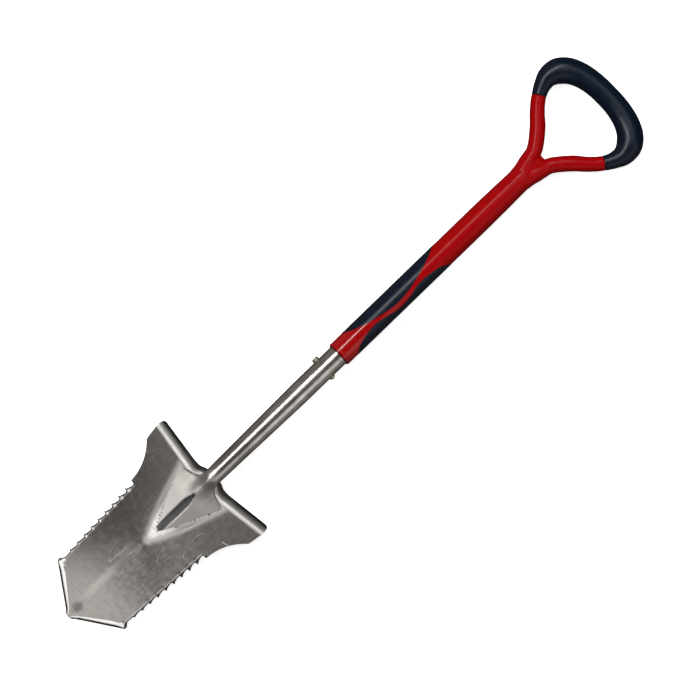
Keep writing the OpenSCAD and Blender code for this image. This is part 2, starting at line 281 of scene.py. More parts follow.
def tread_point(x, angle):
    """A point on the under side of the tread, angle round its bend."""
    near = 1 - smooth(NECK_R, NECK_R + 9, abs(x))
    reach = (TREAD_REACH + 3 * near + 1.6 * (1 - abs(x) / SHOULDER_W)) / math.sin(BEND_END) - SHEET_T
    top = face_z(x, CREASE_Y)
    drop = (top - SHEET_T) * (1 - 0.35 * near)
    turned = math.degrees(angle)
    swell = math.exp(-((turned - 14) / 10) ** 2)
    crease = math.exp(-((turned - 2.5) / 2.2) ** 2)
    bead = BEAD * (1 - near) * (swell - 0.45 * crease)
    fallen = ((1 - math.cos(angle)) / (1 - math.cos(BEND_END))) ** 1.5
    return x, CREASE_Y + slant(x) + reach * math.sin(angle), top - SHEET_T - drop * fallen + bead


print("the face is", face_z(0, 0), "mm high at the tip and", round(face_z(0, CREASE_Y), 1), "at the crease")


# %% [markdown]
# ## Pressing the blade
# A grid is the sheet before it's cut. Each of its rows is drawn in to the outline, and the press
# gives each point its height. A Solidify modifier then gives the sheet its thickness: a weight
# on the points of the edge leaves less metal there, which is the ground bevel of the point and
# of the teeth.

# %% Press a flat grid into shape
def pressed_sheet(columns, rows, place):
    """A grid whose points go where place(column, row) says, in mm from the tip."""
    deselect_all()
    bpy.ops.mesh.primitive_grid_add(x_subdivisions=columns - 1, y_subdivisions=rows - 1, size=1)
    piece = bpy.context.object
    for point in piece.data.vertices:
        column = round((point.co.x + 0.5) * (columns - 1))
        row = round((point.co.y + 0.5) * (rows - 1))
        x, y, z = place(column, row)
        point.co = Vector((x * MM, TIP_Y + y * MM, z * MM))
    return piece


BLADE_COLUMNS = 43


def across(column, width, inner):
    """Place across the blade: the first and last columns are the cut edge, the rest lie on the face."""
    if column in (0, BLADE_COLUMNS - 1):
        return width if column else -width
    share = 2 * (column - 1) / (BLADE_COLUMNS - 3) - 1
    return inner * mix(share, share ** 3, 0.35)


def blade_point(column, row):
    """A point on the under side of the pressed sheet."""
    if row < len(flat_rows):
        y, width, inner = flat_rows[row]
        x = across(column, width, inner)
        lean = smooth(LEAN_START, CREASE_Y, y)
        return x, y + lean * slant(x), face_z(x, y) - SHEET_T
    angle = bend_angles[row - len(flat_rows)]
    start = math.radians(32)
    turn = clamp01((angle - start) / (BEND_END - start))
    width = SHOULDER_W + 0.4 - 5.6 * (1 - math.sqrt(1 - turn * turn))
    return tread_point(across(column, width, width - 1.2), angle)


# %% [markdown]
# ### Marks that the finish follows
# The steel isn't one tone: it's bright where the weld was ground, and painted light marks the rest: a
# painted highlight along the honed edges and on the start of the treads' bend, and painted shade on the cut
# edge. Each is kept as a number on the points of the mesh, which the material reads later, so the marks
# follow the shape exactly.

# %% Marks on the blade
WELD_Y = 121.0


def weld_half_width(y):
    """Half the width of the ground V, which runs from WELD_Y up to the treads."""
    return 1.5 + 34 * (max(0.0, y - WELD_Y) / 86) ** 0.75


def mark(piece, name, amount):
    """Keeps amount(column, row) at each point, for a material to read."""
    layer = piece.data.attributes.new(name, "FLOAT", "POINT")
    for point in piece.data.vertices:
        row, column = divmod(point.index, BLADE_COLUMNS)
        layer.data[point.index].value = amount(column, row)


def near_weld(column, row):
    """1 under the weld, and fading out round it."""
    x, y, z = blade_point(column, row)
    if y < WELD_Y:
        return 1 - smooth(0, 9, math.hypot(max(0, abs(x) - 1.5), WELD_Y - y))
    return 1 - smooth(-2, 8, abs(x) - weld_half_width(y))


def cut_edge(column, row):
    """1 on the cut edge of the point and the saw, where painted shade darkens the steel."""
    saw = row < len(flat_rows) and flat_rows[row][0] < SAW_END + 1
    return 1.0 if saw and column in (0, BLADE_COLUMNS - 1) else 0.0


def honed_highlight_band(column, row):
    """1 on the bevels of the point, and less along the saw: where a highlight is painted."""
    if row >= len(flat_rows) or flat_rows[row][0] > SAW_END:
        return 0.0
    if flat_rows[row][0] > CORNER_Y:
        return 0.55 if column in (1, BLADE_COLUMNS - 2) else 0.0
    return 1.0 if column in (1, 2, BLADE_COLUMNS - 3, BLADE_COLUMNS - 2) else 0.0


def painted_tread_highlight(column, row):
    """1 on the start of each tread's bend, where a highlight is painted."""
    if row < len(flat_rows):
        return 0.0
    turned = math.degrees(bend_angles[row - len(flat_rows)])
    x = abs(blade_point(column, row)[0])
    return smooth(2, 8, turned) * (1 - smooth(34, 58, turned)) * smooth(14, 34, x)


# %% Press the blade and give it its thickness
blade = pressed_sheet(BLADE_COLUMNS, len(flat_rows) + len(bend_angles), blade_point)
EDGE_LEFT = 0.3  # share of the thickness that grinding leaves at the edge
thickness = blade.vertex_groups.new(name="sheet thickness")
for point in blade.data.vertices:
    row = point.index // BLADE_COLUMNS
    on_edge = point.index % BLADE_COLUMNS in (0, BLADE_COLUMNS - 1) or row == 0
    ground = on_edge and row < len(flat_rows) and flat_rows[row][0] <= SAW_END + 1
    thickness.add([point.index], EDGE_LEFT if ground else 1.0, "REPLACE")
mark(blade, "ground", near_weld)
mark(blade, "cut", cut_edge)
mark(blade, "honed_highlight", honed_highlight_band)
mark(blade, "tread_highlight", painted_tread_highlight)
apply_modifier(blade, "SOLIDIFY", thickness=SHEET_T * MM, offset=1.0,
               vertex_group="sheet thickness", use_even_offset=False)
tidy_mesh(blade, gap=0.01)
finish_piece(blade, "pressed_blade", ["blade"], angle=22)

# %% [markdown]
# ## The socket
# The socket is a tube rolled from sheet. Its lower end is pressed into a V-shaped foot with a
# hollow down the middle, and higher up it tapers out to the width of the handle. A grid is
# rolled up into the tube, the press shapes its lower end, and the seam is closed.

# %% Roll and press the tube
FOOT_Y = 136.0  # the point of the V
FOOT_END = CREASE_Y - 0.8  # where the V is widest, between the treads
FOOT_TOP = 32.5  # half its width there
NECK_Y = 220.0  # from here up the tube is round
CONE_END, TUBE_END = 350, 428.0
TUBE_R = 12.4
TUBE_SIDES = 96
HOLLOW_DEPTH = 3.4


def foot_half_width(y):
    """The V widens to FOOT_END, and then draws in to the neck."""
    if y < FOOT_END:
        return 1.5 + (FOOT_TOP - 1.5) * ((y - FOOT_Y) / (FOOT_END - FOOT_Y)) ** 0.85
    return NECK_R + (FOOT_TOP - NECK_R) * (1 - clamp01((y - FOOT_END) / (NECK_Y - FOOT_END))) ** 3.2


def foot_height(y):
    """Height of the foot's back over the face, which grows to the full tube."""
    return 2 * NECK_R * clamp01((y - FOOT_Y + 6) / (NECK_Y - FOOT_Y + 6)) ** 1.35


def ridge(x, y, width):
    """Share of the foot's height at x: two flat flanks, and a round back nearer the tube."""
    crest = 5.0
    back = 0.45 * smooth(176, 204, y)
    flank = (math.hypot(x, crest) - crest) / (math.hypot(width, crest) - crest)
    return (1 - back) * (1 - flank) + back * math.exp(-(x / 7) ** 2)


def hollow_share(x, y):
    """1 in the middle of the hollow down the foot, and 0 outside it."""
    half_w = 5.4 * smooth(FOOT_Y - 6, FOOT_Y + 4, y) * (1 - smooth(178, 196, y))
    return 1 - smooth(half_w * 0.3, half_w + 0.5, abs(x))


def groove(x, y):
    """Depth of the hollow, which is shallow where the foot is thin."""
    return min(HOLLOW_DEPTH, 0.75 * foot_height(y)) * hollow_share(x, y)


def tube_radius(y):
    """The tube is a cone from the neck to CONE_END, and straight after that."""
    return mix(NECK_R, TUBE_R, clamp01((y - NECK_Y) / (CONE_END - NECK_Y)))


foot_rows = [FOOT_Y + 0.5 + 1.5 * i for i in range(44)] + [FOOT_END + 0.75 * i for i in range(23)]
tube_rows = foot_rows + [222 + 8 * i for i in range(17)] + [360, 380, 400, 415, TUBE_END]


def socket_point(column, row):
    """The foot lies on the face, and rolls up into the round tube on the shaft's line."""
    y = tube_rows[row]
    angle = math.pi - (column + 0.5) * 2 * math.pi / TUBE_SIDES
    radius = tube_radius(y)
    ring_x, ring_z = radius * math.cos(angle), shaft_z(y) + radius * math.sin(angle)
    if y >= NECK_Y:
        return ring_x, y, ring_z
    width, height, rolled = foot_half_width(y), foot_height(y), smooth(FOOT_END - 1, 219, y)
    x = width * math.cos(angle)
    top = height * ridge(x, y, width) - groove(x, y) + 0.25
    base = mix(face_z(x, y), face_z(0, y), rolled) + 0.05
    z = base + (max(0.2, top) if angle > 0 else 0)
    return mix(x, ring_x, rolled), y, mix(z, ring_z, rolled)


socket = pressed_sheet(TUBE_SIDES + 1, len(tube_rows), socket_point)
# The hollow's points are kept, so that the material can paint shade into it.
hollow = socket.data.attributes.new("hollow", "FLOAT", "POINT")
for point in socket.data.vertices:
    row, column = divmod(point.index, TUBE_SIDES + 1)
    x, y, z = socket_point(column, row)
    hollow.data[point.index].value = hollow_share(x, y) if y < 200 else 0.0
tidy_mesh(socket)
finish_piece(socket, "socket_tube", ["socket"], angle=40)

# %% [markdown]
# ## The weld
# The foot is welded to the sheet all the way round and the weld is ground flat, which leaves a
# bright V with a few small pits in it. The weld metal is a thin strip that fills the corner
# between the foot and the face, so it's pressed from one more grid.

# %% Lay the ground weld
WELD_COLUMNS = 41
weld_rows = [WELD_Y + (FOOT_END - WELD_Y) * (i / 42) ** 1.3 for i in range(43)]


def weld_point(column, row):
    """The weld stands a tenth of a millimetre over the face, and feathers out at its edge."""
    y = weld_rows[row]
    width = weld_half_width(y)
    x = width * (2 * column / (WELD_COLUMNS - 1) - 1)
    feather = smooth(0, 8, width - abs(x)) * smooth(WELD_Y - 0.5, WELD_Y + 5, y)
    return x, y, face_z(x, y) + 0.02 + 0.12 * feather


weld = pressed_sheet(WELD_COLUMNS, len(weld_rows), weld_point)
outer_edge = weld.data.attributes.new("from_edge", "FLOAT", "POINT")
seam = weld.data.attributes.new("from_foot", "FLOAT", "POINT")
for point in weld.data.vertices:
    row, column = divmod(point.index, WELD_COLUMNS)
    x, y, z = weld_point(column, row)
    outer_edge.data[point.index].value = min(weld_half_width(y) - abs(x), y - WELD_Y)
    foot_side = foot_half_width(y) if y > FOOT_Y else FOOT_Y - y
    seam.data[point.index].value = abs(x) - foot_side
apply_modifier(weld, "SOLIDIFY", thickness=0.3 * MM, offset=-1.0)
tidy_mesh(weld, gap=0.005)
finish_piece(weld, "ground_weld", ["weld"], angle=40)

# %% [markdown]
# ## Sweeping round sections
# The handle is all round sections: a shaft, two arms and a grip bar. A sweep starts from a
# circle, and each step extrudes it, turns it to face along the path and scales it to the next
# radius, as one would by hand with E, R and S.

# %% Sweep a circle along stations
def sweep(stations, sides):
    """stations: (x, y, turn, radius across, radius up) in mm and radians, in the shaft's frame."""
    deselect_all()
    x, y, turn, wide, high = stations[0]
    bpy.ops.mesh.primitive_circle_add(vertices=sides, radius=wide * MM, fill_type="NGON",
                                      location=(x * MM, y * MM, 0), rotation=(math.pi / 2, 0, -turn))
    piece = bpy.context.object
    bpy.ops.object.transform_apply(location=True, rotation=True, scale=True)
    bpy.ops.object.mode_set(mode="EDIT")
    bpy.ops.mesh.select_all(action="SELECT")
    bpy.ops.transform.resize(value=(1, 1, high / wide), center_override=(x * MM, y * MM, 0))
    for before, after in zip(stations, stations[1:]):
        centre = (after[0] * MM, after[1] * MM, 0)
        step = ((after[0] - before[0]) * MM, (after[1] - before[1]) * MM, 0)
        bpy.ops.mesh.extrude_region_move(TRANSFORM_OT_translate={"value": step})
        if after[2] != before[2]:
            bpy.ops.transform.rotate(value=after[2] - before[2], orient_axis="Z", center_override=centre)
        bpy.ops.transform.resize(value=(after[3] / before[3], after[3] / before[3], after[4] / before[4]),
                                 center_override=centre)
    bpy.ops.object.mode_set(mode="OBJECT")
    return piece


# %% The path of the D, in the shaft's frame
# Half of the D, from the yoke to the middle of the bar: x, y and radius, in mm.
d_path = [(7.6, 715, 6.8), (11.7, 726.3, 8.9), (17, 734.9, 9), (28.5, 748.6, 9), (39.3, 758.6, 8.6),
          (48.2, 768.4, 8.4), (54.3, 777.6, 8.7), (58.2, 786.4, 10), (60.2, 796.4, 12.5),
          (57.6, 807.6, 14.7), (49.8, 816.8, 14.8), (38, 823.2, 14.2), (25, 826.8, 13.7),
          (12.5, 828.4, 13.4), (0, 828.7, 13.3)]
D_MIDDLE = len(d_path) - 1
JOINT = 5.55  # steps along the path at which the red arm ends and the grip starts


def catmull(a, b, c, d, t):
    """A smooth curve through b and c, which a and d steer."""
    square = 2 * a - 5 * b + 4 * c - d
    cube = 3 * b - a - 3 * c + d
    return 0.5 * (2 * b + (c - a) * t + square * t * t + cube * t ** 3)


def path_step(index):
    """A point of the path. Past the middle it is the mirror of the first half."""
    if index <= D_MIDDLE:
        return Vector(d_path[max(0, index)])
    x, y, radius = d_path[max(0, 2 * D_MIDDLE - index)]
    return Vector((-x, y, radius))


def path_at(s):
    """The path's place and radius at s steps along it."""
    i = math.floor(s)
    near = [path_step(i + k) for k in (-1, 0, 1, 2)]
    return Vector([catmull(*(p[axis] for p in near), s - i) for axis in range(3)])


def station(s, less=0.0):
    """A station of the D at s steps along its path, its section smaller by less."""
    here, ahead, behind = path_at(s), path_at(s + 0.02), path_at(s - 0.02)
    turn = math.atan2(ahead[0] - behind[0], ahead[1] - behind[1])
    return [here[0], here[1], turn, here[2] - less, here[2] - less]


def unwound(stations):
    """Keeps each turn within half a turn of the one before, so that the sweep never flips."""
    for before, after in zip(stations, stations[1:]):
        while after[2] - before[2] > math.pi:
            after[2] -= 2 * math.pi
        while after[2] - before[2] < -math.pi:
            after[2] += 2 * math.pi
    return stations


print("the D's path has", 2 * D_MIDDLE, "steps")

# %% [markdown]
# ## The red handle
# The shaft, yoke and arms are one polypropylene moulding, with no edge where they meet. They're
# swept separately, joined, and remeshed with small voxels, and the new skin is then relaxed so
# that the arms grow out of the shaft in one smooth curve.

# %% Shaft, yoke and arms in one skin
MOUTH_Y, SHAFT_R = 411.0, 14.9
LIP = 4.4
SKIN = 0.12  # the skin stays this far inside, so that the inlays lie on it
VOXEL = 0.9
shaft_profile = [(MOUTH_Y + LIP - 0.6, SHAFT_R - 0.35), (MOUTH_Y + LIP, SHAFT_R - SKIN),
                 (500, SHAFT_R - SKIN), (636, SHAFT_R - SKIN), (664, 14.4), (688, 13.9)]
yoke_profile = [(694, 13.9, 13.4), (700, 13.7, 12.6), (706, 13, 11), (712, 12, 9.5), (718, 10.5, 8),
                (724, 8.5, 6.8), (728, 6, 5)]
shaft_stations = [(0, y, 0, r, r) for y, r in shaft_profile]
shaft_stations += [(0, y, 0, w, h) for y, w, h in yoke_profile]
handle = sweep(shaft_stations, 64)
arms = []
for side in (1, -1):
    root = [[4.2, 690, 0.1, 9.6, 11.5], [5.4, 702, 0.16, 9.9, 11.6], [8, 713, 0.3, 10, 10.9]]
    steps = unwound(root + [station(0.25 * i) for i in range(4, 22)] + [station(JOINT)]
                    + [station(JOINT, 3), station(6, 3), station(6.5, 3)])
    arms.append(sweep([(side * x, y, side * turn, w, h) for x, y, turn, w, h in steps], 32))
only(handle)
for arm in arms:
    arm.select_set(True)
bpy.ops.object.join()
tidy_mesh(handle, gap=0.001)
apply_modifier(handle, "REMESH", mode="VOXEL", voxel_size=VOXEL * MM)
apply_modifier(handle, "SMOOTH", factor=0.5, iterations=10)
print("the handle's skin has", len(handle.data.polygons), "faces")

# %% [markdown]
# ### The lip
# The voxels would blunt the shaft's mouth, so its lip is a short sweep of its own, which starts
# inside the mouth, comes out over its face and rolls back onto the shaft.

# %% The lip of the mouth
lip_profile = [(MOUTH_Y + 3.2, TUBE_R + 0.2), (MOUTH_Y + 0.6, TUBE_R + 0.55), (MOUTH_Y, TUBE_R + 0.75),
               (MOUTH_Y, SHAFT_R - 1.6), (MOUTH_Y + 0.3, SHAFT_R - 1.15), (MOUTH_Y + 1.0, SHAFT_R - 0.6),
               (MOUTH_Y + 2.0, SHAFT_R - 0.2), (MOUTH_Y + 3.0, SHAFT_R - 0.05),
               (MOUTH_Y + LIP - 0.5, SHAFT_R - 0.05),
               (MOUTH_Y + LIP - 0.1, SHAFT_R - 0.2), (MOUTH_Y + LIP + 0.4, SHAFT_R - 0.5)]
lip = sweep([(0, y, 0, r, r) for y, r in lip_profile], 64)
only(handle)
lip.select_set(True)
bpy.ops.object.join()
lay_on_shaft(handle)
finish_piece(handle, "handle_skin", ["handle_moulding"], angle=60)

# %% [markdown]
# ## The soft grip
# A soft rubber is moulded over the bar and both of its corners. It ends in a square shoulder
# against each red arm, and the shoulder's edge is just rounded.

# %% Sweep the soft grip
far = 2 * D_MIDDLE - JOINT
grip_steps = [station(JOINT, 3.2), station(JOINT, 0.5), station(JOINT + 0.04, 0.12), station(JOINT + 0.1)]
grip_steps += [station(s / 5) for s in range(29, 5 * 2 * D_MIDDLE - 28)]
grip_steps += [station(far - 0.1), station(far - 0.04, 0.12), station(far, 0.5), station(far, 3.2)]
grip = sweep(unwound(grip_steps), 48)
tidy_mesh(grip, gap=0.001)
lay_on_shaft(grip)
finish_piece(grip, "soft_grip", ["grip_cover"], angle=50)

# %% [markdown]
# ## Materials
# Each material is named for what the real piece is made of. Colours are written as sRGB hex
# values, and one function turns them into the linear values that Blender mixes. A second one adds
# a node with its settings and links, so that a material reads as a list of its steps.

# %% Colour and node helpers
def linear(hex_colour):
    """An sRGB hex value as the linear colour that Blender mixes in."""
    parts = [int(hex_colour[i:i + 2], 16) / 255 for i in (1, 3, 5)]
    return [p / 12.92 if p <= 0.04045 else ((p + 0.055) / 1.055) ** 2.4 for p in parts] + [1.0]


def add_node(tree, kind, settings=None, links=None):
    """Adds a node. settings holds properties and socket values, and links socket: (node, output)."""
    node = tree.nodes.new(kind)
    for key, value in (settings or {}).items():
        if isinstance(key, int) or key in node.inputs:
            node.inputs[key].default_value = value
        else:
            setattr(node, key, value)
    for key, (source, output) in (links or {}).items():
        tree.links.new(source.outputs[output], node.inputs[key])
    return node


def new_material(name):
    """An empty material with one Principled shader."""
    material = bpy.data.materials.new(name)
    material.use_nodes = True
    tree = material.node_tree
    tree.nodes.clear()
    shader = add_node(tree, "ShaderNodeBsdfPrincipled")
    add_node(tree, "ShaderNodeOutputMaterial", links={"Surface": (shader, "BSDF")})
    return material, tree, shader


def wear(piece, material):
    """Gives a piece one material."""
    piece.data.materials.clear()
    piece.data.materials.append(material)


# %% [markdown]
# ### Brushed stainless steel
# The blade is cold-rolled stainless, brushed lengthwise with a belt. Brushing leaves fine lines
# along the blade that stretch its reflections across them, and use adds duller clouds and a few
# long scratches. The real lines are about 0.1 mm apart, drawn about 1.5 mm apart so that they show.

# %% Nodes that the steels share
def noise(tree, place, size_mm, detail=3.0, rough=0.55):
    """Noise with features of size_mm, which may be one number or one for each axis."""
    sizes = size_mm if isinstance(size_mm, tuple) else (size_mm,) * 3
    scaled = add_node(tree, "ShaderNodeMapping", {"Scale": tuple(1 / (v * MM) for v in sizes)},
                      {"Vector": (place, "Object")})
    return add_node(tree, "ShaderNodeTexNoise", {"Scale": 1.0, "Detail": detail, "Roughness": rough},
                    {"Vector": (scaled, "Vector")})


def remap(tree, source, output, low, high, to_low=0.0, to_high=1.0):
    """An S curve from to_low to to_high, as the source goes from low to high."""
    settings = {"interpolation_type": "SMOOTHSTEP", "From Min": low, "From Max": high,
                "To Min": to_low, "To Max": to_high}
    return add_node(tree, "ShaderNodeMapRange", settings, {"Value": (source, output)})


# A Mix node has sockets for each kind of value. These numbers are those for colours.
MIX_FIRST, MIX_SECOND, MIXED = 6, 7, 2


def blend(tree, amount, first, second):
    """Mixes two colours, each a hex value or a (node, output) pair. amount is a pair too."""
    node = add_node(tree, "ShaderNodeMix", {"data_type": "RGBA"})
    tree.links.new(amount[0].outputs[amount[1]], node.inputs["Factor"])
    for place, value in ((MIX_FIRST, first), (MIX_SECOND, second)):
        if isinstance(value, str):
            node.inputs[place].default_value = linear(value)
        else:
            tree.links.new(value[0].outputs[value[1]], node.inputs[place])
    return node


def tint(tree, colour, source, output, low, high, share, towards):
    """Turns a share of the colour towards another, as the source goes from low to high."""
    amount = remap(tree, source, output, low, high, 0.0, share)
    return blend(tree, (amount, "Result"), (colour, MIXED), towards)


def painted(tree, name):
    """Reads a number that was kept on the mesh's points."""
    return add_node(tree, "ShaderNodeAttribute", {"attribute_name": name})


def multiplied(tree, first, second):
    """The product of two (node, output) pairs."""
    return add_node(tree, "ShaderNodeMath", {"operation": "MULTIPLY"}, {0: first, 1: second})


def scratches(tree, place, size_mm, width):
    """Thin curved lines, where a slow noise passes through its middle, and only in some places."""
    slow = noise(tree, place, (size_mm, 3 * size_mm, size_mm), 0.0)
    above = add_node(tree, "ShaderNodeMath", {"operation": "SUBTRACT", 1: 0.5}, {0: (slow, "Fac")})
    off = add_node(tree, "ShaderNodeMath", {"operation": "ABSOLUTE"}, {0: (above, "Value")})
    line = remap(tree, off, "Value", 0.0, width, 1.0, 0.0)
    where = noise(tree, place, 19, 1.0)
    some = remap(tree, where, "Fac", 0.5, 0.6)
    return multiplied(tree, (line, "Result"), (some, "Result"))


# %% Brushed steel
def recolour(tree, shader, colour):
    """Makes the last mixed colour the shader's."""
    tree.links.new(colour.outputs[MIXED], shader.inputs["Base Color"])


def brushed_steel(name, dark, light, line_mm, rough, cloud_mm, lines_share, stretch=0.5, depth_mm=0.04):
    """Brushed lines and clouds between two tones. stretch is how far the lines smear a reflection."""
    material, tree, shader = new_material(name)
    place = add_node(tree, "ShaderNodeTexCoord")
    lines = noise(tree, place, (line_mm, 14 * line_mm, line_mm))
    clouds = noise(tree, place, cloud_mm, 5.0, 0.6)
    both = add_node(tree, "ShaderNodeMath", {"operation": "MULTIPLY_ADD", 1: lines_share},
                    {0: (lines, "Fac"), 2: (clouds, "Fac")})
    tone = remap(tree, both, "Value", 0.42 + 0.3 * lines_share, 0.62 + 0.7 * lines_share)
    colour = blend(tree, (tone, "Result"), dark, light)
    shine = remap(tree, both, "Value", 0.3, 0.9, rough + 0.07, rough - 0.05)
    grain = noise(tree, place, (0.9, 2.2, 0.9), 1.0)
    colour = tint(tree, colour, grain, "Fac", 0.35, 0.75, 0.3, light)
    bump = add_node(tree, "ShaderNodeBump", {"Strength": 0.3, "Distance": depth_mm * MM},
                    {"Height": (lines, "Fac")})
    recolour(tree, shader, colour)
    tree.links.new(shine.outputs["Result"], shader.inputs["Roughness"])
    tree.links.new(bump.outputs["Normal"], shader.inputs["Normal"])
    shader.inputs["Metallic"].default_value = 1.0
    shader.inputs["Anisotropic"].default_value = stretch
    return material, tree, shader, place, colour


def soft_spot(tree, place, x, y, half_x, half_y):
    """A patch that fades out from its centre, in mm from the tip."""
    moved = add_node(tree, "ShaderNodeMapping", {"Location": (-x * MM, -(TIP_Y + y * MM), 0)},
                     {"Vector": (place, "Object")})
    scaled = add_node(tree, "ShaderNodeMapping", {"Scale": (1 / (half_x * MM), 1 / (half_y * MM), 0)},
                      {"Vector": (moved, "Vector")})
    return add_node(tree, "ShaderNodeTexGradient", {"gradient_type": "SPHERICAL"},
                    {"Vector": (scaled, "Vector")})


# %% [markdown]
# ### The blade's wear and painted light
# The lower third is the brightest, and the sheet turns darker towards the treads. The ground places are
# brighter than the sheet, the start of each tread's bend carries a painted highlight, the honed edges a
# painted highlight that is nearly white, and the cut edge painted shade. The honed edges also get a lower
# Metallic value, so that their painted white shows instead of the dark room.

# %% Brushed stainless steel for the blade
blade_steel, tree, shader, place, colour = brushed_steel(
    "brushed stainless steel", "#63605D", "#878380", 1.6, 0.48, 7, 0.6)
position = add_node(tree, "ShaderNodeSeparateXYZ", links={"Vector": (place, "Object")})
near_tip = remap(tree, position, "Y", TIP_Y + 0.100, TIP_Y + 0.020)
colour = tint(tree, colour, near_tip, "Result", 0.0, 1.0, 0.7, "#A9A49F")
colour = tint(tree, colour, position, "Y", TIP_Y + 0.105, TIP_Y + 0.180, 0.6, "#4B4845")
# Painted highlight: a soft light streak down the middle of the lower blade.
centre_highlight = soft_spot(tree, place, -3, 52, 8, 42)
colour = tint(tree, colour, centre_highlight, "Fac", 0.0, 1.0, 0.3, "#CFCBC6")
# A soft dark spot just behind the tip.
dark_spot = soft_spot(tree, place, -0.5, 15, 8, 9)
colour = tint(tree, colour, dark_spot, "Fac", 0.0, 0.7, 0.75, "#5F5A57")
cross_lines = noise(tree, place, (11, 2.0, 2.0), 2.0)
colour = tint(tree, colour, cross_lines, "Fac", 0.45, 0.75, 0.2, "#5A5653")
scratched = scratches(tree, place, 23, 0.005)
colour = tint(tree, colour, scratched, "Value", 0.0, 1.0, 0.5, "#C9C5BF")
colour = tint(tree, colour, painted(tree, "ground"), "Fac", 0.0, 1.0, 0.7, "#BDB9B5")
# Painted highlight on the start of each tread's bend.
colour = tint(tree, colour, painted(tree, "tread_highlight"), "Fac", 0.0, 1.0, 0.9, "#D2CFCB")
# Painted highlight: the honed bands are painted nearly white, and a lower Metallic value lets the white
# show.
honed_highlight = painted(tree, "honed_highlight")
colour = tint(tree, colour, honed_highlight, "Fac", 0.3, 0.8, 1.0, "#F4F1EE")
# Painted shade: the cut edge of the point and the saw is painted dark.
colour = tint(tree, colour, painted(tree, "cut"), "Fac", 0.25, 0.45, 1.0, "#4A4643")
recolour(tree, shader, colour)
honed_highlight_metallic = remap(tree, honed_highlight, "Fac", 0.3, 0.8, 1.0, 0.25)
tree.links.new(honed_highlight_metallic.outputs["Result"], shader.inputs["Metallic"])
wear(blade, blade_steel)
print(blade_steel.name, "has", len(tree.nodes), "nodes")

# %% [markdown]
# ### The socket, weld and core tube
# The tube is polished and shows the room as long streaks, and painted shade darkens it towards its foot.
# Its foot was ground with the weld, so it turns satin there, and painted shade darkens the hollow. Pores in
# the weld open as black pits when it's ground flat: they lie along the seam, and a Voronoi pattern places
# them.

# %% Polished steel for the socket
socket_steel, tree, shader, place, colour = brushed_steel(
    "polished stainless steel", "#A29D98", "#D6D2CC", 1.5, 0.2, 30, 0.5, 0.0, 0.01)
position = add_node(tree, "ShaderNodeSeparateXYZ", links={"Vector": (place, "Object")})
satin = remap(tree, position, "Y", TIP_Y + 0.235, TIP_Y + 0.195, 0.25, 0.66)
tree.links.new(satin.outputs["Result"], shader.inputs["Roughness"])
# Painted shade: the tube turns darker from 350 mm down to 230 mm from the tip.
colour = tint(tree, colour, position, "Y", TIP_Y + 0.350, TIP_Y + 0.230, 0.45, "#85807B")
colour = tint(tree, colour, position, "Y", TIP_Y + 0.205, TIP_Y + 0.185, 0.8, "#CBC8C4")
# Painted shade in the hollow down the foot.
colour = tint(tree, colour, painted(tree, "hollow"), "Fac", 0.05, 0.7, 0.92, "#484648")
recolour(tree, shader, colour)
wear(socket, socket_steel)
core_steel = brushed_steel("plain steel tube", "#77777A", "#96969A", 1.2, 0.4, 26, 0.35)[0]
wear(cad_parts["core_tube"], core_steel)
print(socket_steel.name, "has", len(tree.nodes), "nodes")

# %% Ground weld metal and its pits
weld_steel, tree, shader, place, colour = brushed_steel(
    "ground weld metal", "#C2BEBA", "#E6E3E0", 1.4, 0.46, 9, 0.4)
colour = tint(tree, colour, painted(tree, "from_edge"), "Fac", 5.0, -0.5, 1.0, "#A9A5A1")
from_foot = painted(tree, "from_foot")
off_seam = add_node(tree, "ShaderNodeMath", {"operation": "ABSOLUTE"}, {0: (from_foot, "Fac")})
on_seam = remap(tree, off_seam, "Value", 2.2, 1.2)
PIT_SPACING = 3.5
pores = add_node(tree, "ShaderNodeTexVoronoi", {"Scale": 1 / (PIT_SPACING * MM)},
                 {"Vector": (place, "Object")})
pore = remap(tree, pores, "Distance", 0.34, 0.22)
pits = multiplied(tree, (on_seam, "Result"), (pore, "Result"))
colour = blend(tree, (pits, "Value"), (colour, MIXED), "#1B1918")
recolour(tree, shader, colour)
wear(weld, weld_steel)
print(weld_steel.name, "has", len(tree.nodes), "nodes")

# %% [markdown]
# ### Yellow zinc plate
# The bolt and its nut are steel with a thin yellow passivated zinc plate, which gives a soft
# metal shine that drifts between straw and grey.

# %% Yellow zinc for the bolt and nut
zinc, tree, shader = new_material("yellow zinc plate")
place = add_node(tree, "ShaderNodeTexCoord")
patches = add_node(tree, "ShaderNodeTexNoise", {"Scale": 1 / (2.5 * MM), "Detail": 2.0},
                   {"Vector": (place, "Object")})
colour = add_node(tree, "ShaderNodeValToRGB", links={"Fac": (patches, "Fac")})
colour.color_ramp.elements[0].color = linear("#98917C")
colour.color_ramp.elements[1].color = linear("#DDD6BE")
tree.links.new(colour.outputs["Color"], shader.inputs["Base Color"])
shader.inputs["Metallic"].default_value = 1.0
shader.inputs["Roughness"].default_value = 0.34
wear(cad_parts["cross_bolt"], zinc)
wear(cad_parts["bolt_nut"], zinc)
print(zinc.name, "has", len(tree.nodes), "nodes")

# %% [markdown]
# ### Moulded polypropylene and soft rubber
# The red shell is polypropylene out of a polished mould: glossy, very slightly wavy, with faint scuffs. The
# dark blue parts are a soft rubber out of a finely sparked mould, so their shine is broken into a satin.
# Hands have dulled the red shaft towards the grip, and its lip is painted nearly black as shade at the
# mouth.

# %% Moulded plastic
SCUFF_MM, WAVE_LENGTH_MM = 9, 14


